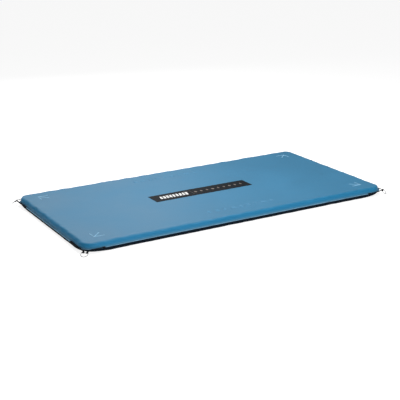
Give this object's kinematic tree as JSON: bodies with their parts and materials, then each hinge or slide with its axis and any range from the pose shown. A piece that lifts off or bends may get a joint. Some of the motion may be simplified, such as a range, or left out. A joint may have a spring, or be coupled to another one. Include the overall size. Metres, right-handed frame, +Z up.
{
  "type": "inflatable sleeping pad",
  "caption": "Wide self-inflating sleeping mat, blue over black, with webbing straps, hinged wire D-rings at its corners and a screw valve on one short edge.",
  "frame": {"origin": "on the ground, under the middle of the mat", "axes": "+X along the mat towards the edge with the valve, +Y across it, +Z up"},
  "size_m": [2.0475, 1.1069, 0.0535],
  "materials": {
    "blue_fabric": "matte brushed polyester, coated inside",
    "black_fabric": "matte woven polyester, coated inside",
    "foam": "open-cell polyurethane foam",
    "webbing": "woven tape",
    "thread": "bonded polyester thread",
    "steel": "nickel-plated wire",
    "badge_print": "printed film",
    "mark_print": "printed film",
    "valve_plastic": "moulded, fine texture",
    "seal_rubber": "smooth"
  },
  "bodies": {
    "mat": {"back_left_corner_mark": "mark_print", "back_left_long_bartack": "thread", "back_left_long_strap": "webbing", "back_left_short_bartack": "thread", "back_left_short_strap": "webbing", "back_right_corner_mark": "mark_print", "back_right_long_bartack": "thread", "back_right_long_strap": "webbing", "back_right_short_bartack": "thread", "back_right_short_strap": "webbing", "bottom_skin": "black_fabric", "center_badge": "badge_print", "foam_core": "foam", "front_left_corner_mark": "mark_print", "front_left_long_bartack": "thread", "front_left_long_strap": "webbing", "front_left_short_bartack": "thread", "front_left_short_strap": "webbing", "front_right_corner_mark": "mark_print", "front_right_long_bartack": "thread", "front_right_long_strap": "webbing", "front_right_short_bartack": "thread", "front_right_short_strap": "webbing", "top_skin": "blue_fabric", "valve_body": "valve_plastic", "valve_foam_guard": "valve_plastic", "valve_plug": "valve_plastic", "valve_plug_seal": "seal_rubber"},
    "back_right_ring": {"back_right_d_ring": "steel"},
    "back_left_ring": {"back_left_d_ring": "steel"},
    "front_left_ring": {"front_left_d_ring": "steel"},
    "front_right_ring": {"front_right_d_ring": "steel"},
    "valve_seal_ring": {"valve_cap_seal": "seal_rubber"},
    "valve_cap": {"valve_cap": "valve_plastic"}
  },
  "joints": [
    {"name": "back_right_ring_swing", "type": "hinge", "parent": "mat", "child": "back_right_ring", "pos_m": [0.995, 0.522, 0.016], "axis": [0.7071, -0.7071, 0], "range_deg": [-84, 165]},
    {"name": "back_left_ring_swing", "type": "hinge", "parent": "mat", "child": "back_left_ring", "pos_m": [-0.998, 0.528, 0.018], "axis": [0.7071, 0.7071, 0], "range_deg": [-80, 169]},
    {"name": "front_left_ring_swing", "type": "hinge", "parent": "mat", "child": "front_left_ring", "pos_m": [-0.989, -0.526, 0.015], "axis": [-0.7071, 0.7071, 0], "range_deg": [-86, 163]},
    {"name": "front_right_ring_swing", "type": "hinge", "parent": "mat", "child": "front_right_ring", "pos_m": [0.9955, -0.5135, 0.024], "axis": [-0.7071, -0.7071, 0], "range_deg": [-65, 184]},
    {"name": "valve_cap_travel", "type": "slide", "parent": "mat", "child": "valve_seal_ring", "axis": [1, 0, 0], "range_m": [0, 0.004]},
    {"name": "valve_cap_turn", "type": "hinge", "parent": "valve_seal_ring", "child": "valve_cap", "pos_m": [0.99902, 0.27, 0.023], "axis": [1, 0, 0], "range_deg": [0, 360]}
  ],
  "couplings": [
    {"joint": "valve_cap_travel", "follows": "valve_cap_turn", "m_per_rad": 0.0006366}
  ]
}
